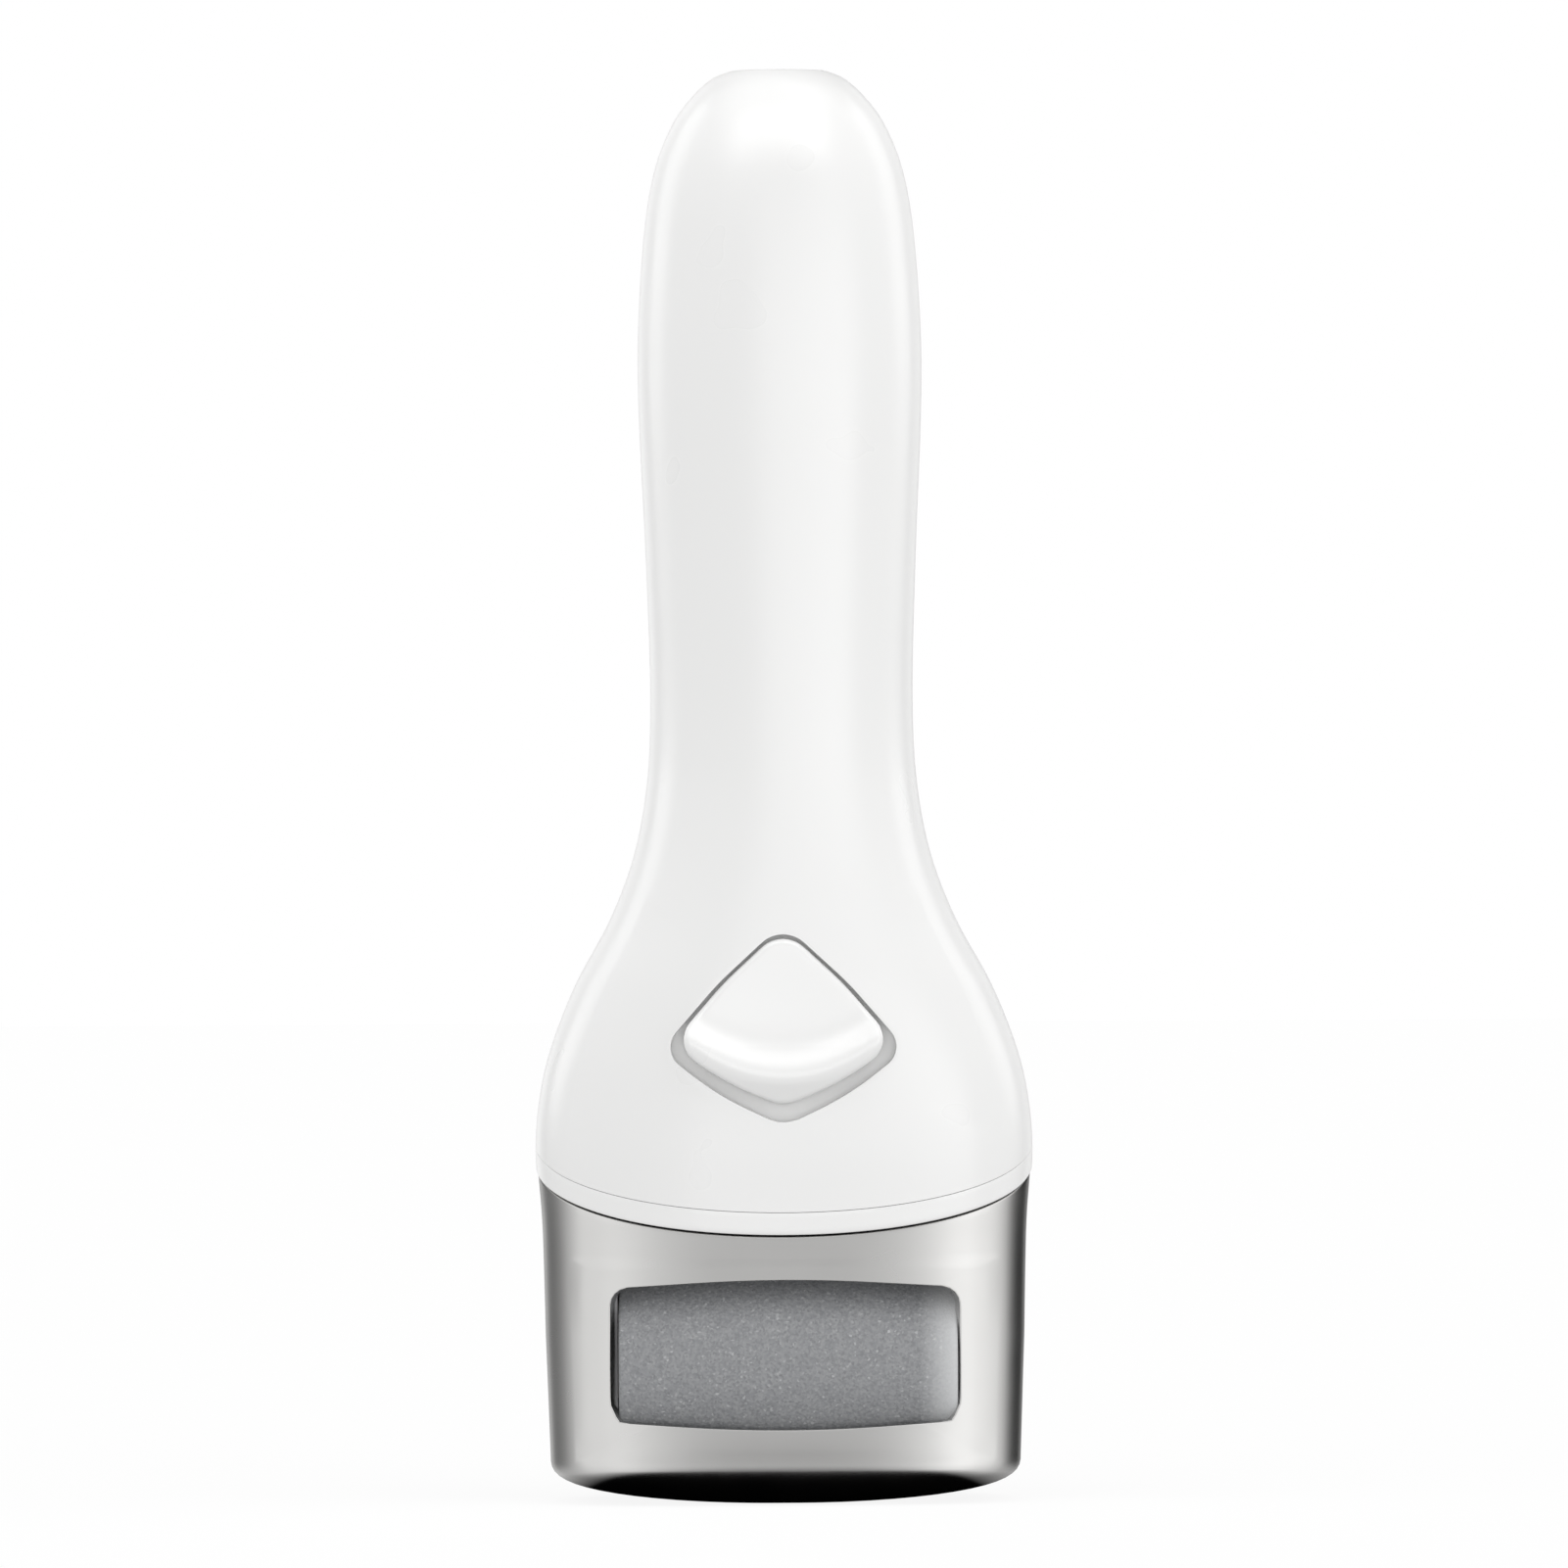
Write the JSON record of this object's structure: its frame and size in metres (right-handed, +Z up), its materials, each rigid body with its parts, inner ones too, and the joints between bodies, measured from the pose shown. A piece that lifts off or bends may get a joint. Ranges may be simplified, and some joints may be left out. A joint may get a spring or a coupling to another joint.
{
  "type": "electric callus remover",
  "caption": "Handheld electric foot file: white tapered handle with a sliding switch over a silver head whose window shows an abrasive roller driven by gears.",
  "frame": {"origin": "middle of the flat foot under the head, on which the object stands upright", "axes": "+Z up along the handle to its flat end, -Y the front with the roller window and the switch, +X to the right seen from the front"},
  "size_m": [0.0598, 0.0363, 0.172],
  "materials": {
    "front_shell": "satin white moulded plastic",
    "back_shell": "satin white moulded plastic",
    "head_collar": "satin white moulded plastic",
    "switch_tray": "satin white moulded plastic",
    "slide_button": "satin white moulded plastic",
    "head_housing": "satin silver metallised finish",
    "abrasive_sleeve": "fine grey abrasive grit",
    "roller_cap_left": "light grey moulded plastic",
    "roller_cap_right": "light grey moulded plastic",
    "switch_housing": "black moulded plastic",
    "switch_stem": "black moulded plastic",
    "roller_core": "black moulded plastic",
    "roller_carrier": "black moulded plastic",
    "battery_cradle": "black moulded plastic",
    "socket_tongue": "black moulded plastic",
    "reduction_gear": "natural acetal",
    "idler_gear": "natural acetal",
    "roller_gear": "natural acetal",
    "motor_plate": "plain steel",
    "gear_chassis": "plain steel",
    "gear_cover": "plain steel",
    "reduction_axle": "plain steel",
    "idler_axle": "plain steel",
    "chassis_spacer_1": "plain steel",
    "chassis_spacer_2": "plain steel",
    "chassis_screw_1": "plain steel",
    "chassis_screw_2": "plain steel",
    "motor_can": "plain steel",
    "motor_end_cap": "plain steel",
    "motor_armature": "plain steel",
    "roller_axle": "plain steel",
    "carrier_screw_1": "plain steel",
    "carrier_screw_2": "plain steel",
    "shell_screw_1": "plain steel",
    "shell_screw_2": "plain steel",
    "shell_screw_3": "plain steel",
    "battery_tab_top": "plain steel",
    "battery_tab_bottom": "plain steel",
    "charge_socket": "plain steel",
    "motor_pinion": "turned brass",
    "roller_bush_left": "turned brass",
    "roller_bush_right": "turned brass",
    "circuit_board": "green circuit board",
    "charge_board": "green circuit board",
    "battery_cell": "blue shrink wrap",
    "collar_seal": "black rubber",
    "wire_cell_plus": "wire insulation",
    "wire_cell_minus": "wire insulation",
    "wire_charge": "wire insulation",
    "wire_motor": "wire insulation"
  },
  "bodies": {
    "handle": {"front_shell": "front_shell", "back_shell": "back_shell", "head_collar": "head_collar", "switch_tray": "switch_tray", "switch_housing": "switch_housing", "battery_cradle": "battery_cradle", "socket_tongue": "socket_tongue", "motor_plate": "motor_plate", "gear_chassis": "gear_chassis", "gear_cover": "gear_cover", "reduction_axle": "reduction_axle", "idler_axle": "idler_axle", "chassis_spacer_1": "chassis_spacer_1", "chassis_spacer_2": "chassis_spacer_2", "chassis_screw_1": "chassis_screw_1", "chassis_screw_2": "chassis_screw_2", "motor_can": "motor_can", "motor_end_cap": "motor_end_cap", "shell_screw_1": "shell_screw_1", "shell_screw_2": "shell_screw_2", "shell_screw_3": "shell_screw_3", "battery_tab_top": "battery_tab_top", "battery_tab_bottom": "battery_tab_bottom", "charge_socket": "charge_socket", "circuit_board": "circuit_board", "charge_board": "charge_board", "battery_cell": "battery_cell", "collar_seal": "collar_seal", "wire_cell_plus": "wire_cell_plus", "wire_cell_minus": "wire_cell_minus", "wire_charge": "wire_charge", "wire_motor": "wire_motor"},
    "head_unit": {"head_housing": "head_housing", "roller_carrier": "roller_carrier", "roller_bush_left": "roller_bush_left", "roller_bush_right": "roller_bush_right", "carrier_screw_1": "carrier_screw_1", "carrier_screw_2": "carrier_screw_2"},
    "roller": {"abrasive_sleeve": "abrasive_sleeve", "roller_core": "roller_core", "roller_cap_left": "roller_cap_left", "roller_cap_right": "roller_cap_right", "roller_axle": "roller_axle", "roller_gear": "roller_gear"},
    "idler": {"idler_gear": "idler_gear"},
    "reduction": {"reduction_gear": "reduction_gear"},
    "motor_rotor": {"motor_armature": "motor_armature", "motor_pinion": "motor_pinion"},
    "switch": {"slide_button": "slide_button", "switch_stem": "switch_stem"}
  },
  "joints": [
    {"name": "head_release", "type": "slide", "parent": "head_unit", "child": "handle", "axis": [0, 0, 1], "range_m": [0, 0.028]},
    {"name": "roller_spin", "type": "hinge", "parent": "head_unit", "child": "roller", "pos_m": [0, -0.004, 0.017], "axis": [1, 0, 0], "continuous": true},
    {"name": "idler_spin", "type": "hinge", "parent": "handle", "child": "idler", "pos_m": [0, 0, 0.02614], "axis": [1, 0, 0], "continuous": true},
    {"name": "reduction_spin", "type": "hinge", "parent": "handle", "child": "reduction", "pos_m": [0, 0, 0.03582], "axis": [1, 0, 0], "continuous": true},
    {"name": "motor_spin", "type": "hinge", "parent": "handle", "child": "motor_rotor", "pos_m": [0, 0.004, 0.04464], "axis": [1, 0, 0], "continuous": true},
    {"name": "switch_slide", "type": "slide", "parent": "handle", "child": "switch", "axis": [0, 0, -1], "range_m": [0, 0.0015]}
  ],
  "couplings": [
    {"joint": "idler_spin", "follows": "roller_spin", "ratio": -0.65},
    {"joint": "reduction_spin", "follows": "roller_spin", "ratio": 1.0833},
    {"joint": "motor_spin", "follows": "roller_spin", "ratio": -2.3833}
  ]
}
